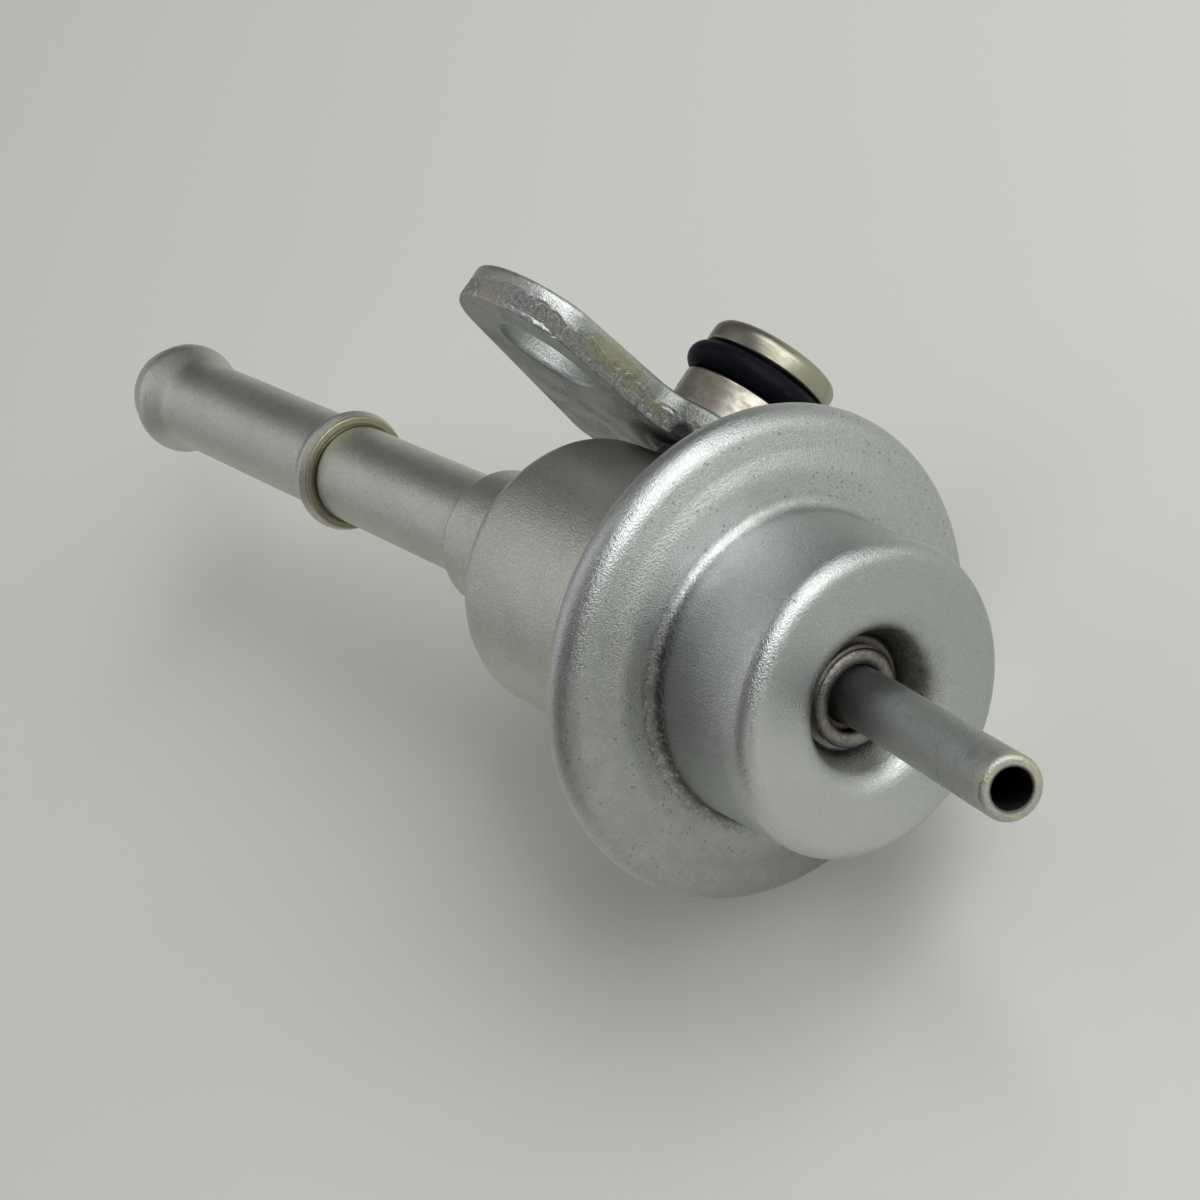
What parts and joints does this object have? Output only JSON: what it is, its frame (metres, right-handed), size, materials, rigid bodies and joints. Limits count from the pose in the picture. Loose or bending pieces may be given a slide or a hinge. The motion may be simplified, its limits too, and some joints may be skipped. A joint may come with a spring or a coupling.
{
  "type": "fuel pressure regulator",
  "caption": "Diaphragm fuel pressure regulator: crimped drawn-steel body with side inlet and O-ring, bolt bracket, long beaded return pipe and short slanted vacuum pipe.",
  "frame": {"origin": "on the bracket's flat face that meets the fuel rail, between the bolt hole and the inlet spigot", "axes": "+X along the body towards the vacuum pipe, +Y out of the bracket's face along the inlet spigot, +Z towards the bolt ear"},
  "size_m": [0.1196, 0.0376, 0.0379],
  "materials": {
    "cover_zinc": "satin zinc plating over drawn steel",
    "vacuum_pipe_zinc": "dull zinc plating",
    "housing_zinc": "satin zinc plating over drawn steel",
    "return_pipe_zinc": "satin zinc plating, yellowish at the bead",
    "spigot_steel": "turned bare steel, lightly stained",
    "o_ring_rubber": "smooth black rubber",
    "bracket_zinc": "zinc plating, edge half sheared and half torn",
    "diaphragm_rubber": "fabric-backed black rubber",
    "lower_plate_zinc": "zinc plated",
    "upper_plate_zinc": "zinc plated",
    "stem_steel": "turned steel",
    "retainer_steel": "spring steel",
    "ball_steel": "polished steel",
    "disc_steel": "lapped steel",
    "ball_spring_steel": "drawn spring wire",
    "seat_brass": "turned brass",
    "spring_seat_zinc": "zinc plated",
    "main_spring_steel": "drawn spring wire",
    "vacuum_braze_copper": "copper braze",
    "return_braze_copper": "copper braze"
  },
  "bodies": {
    "housing": {"spring_cover": "cover_zinc", "vacuum_pipe": "vacuum_pipe_zinc", "lower_housing": "housing_zinc", "return_pipe": "return_pipe_zinc", "inlet_spigot": "spigot_steel", "inlet_o_ring": "o_ring_rubber", "bracket": "bracket_zinc", "diaphragm": "diaphragm_rubber", "valve_seat": "seat_brass", "cover_spring_seat": "spring_seat_zinc", "main_spring": "main_spring_steel", "vacuum_pipe_braze": "vacuum_braze_copper", "return_pipe_braze": "return_braze_copper"},
    "valve_carrier": {"lower_diaphragm_plate": "lower_plate_zinc", "upper_diaphragm_plate": "upper_plate_zinc", "valve_stem": "stem_steel", "ball_retainer": "retainer_steel", "ball_spring": "ball_spring_steel"},
    "valve": {"valve_ball": "ball_steel", "valve_disc": "disc_steel"}
  },
  "joints": [
    {"name": "valve_lift", "type": "slide", "parent": "housing", "child": "valve_carrier", "axis": [1, 0, 0], "range_m": [0, 0.001], "deforming": ["diaphragm", "main_spring"]},
    {"name": "valve_swivel", "type": "hinge", "parent": "valve_carrier", "child": "valve", "pos_m": [0.01305, -0.01315, -0.0072], "axis": [0, 1, 0], "range_deg": [-1.5, 1.5]}
  ]
}
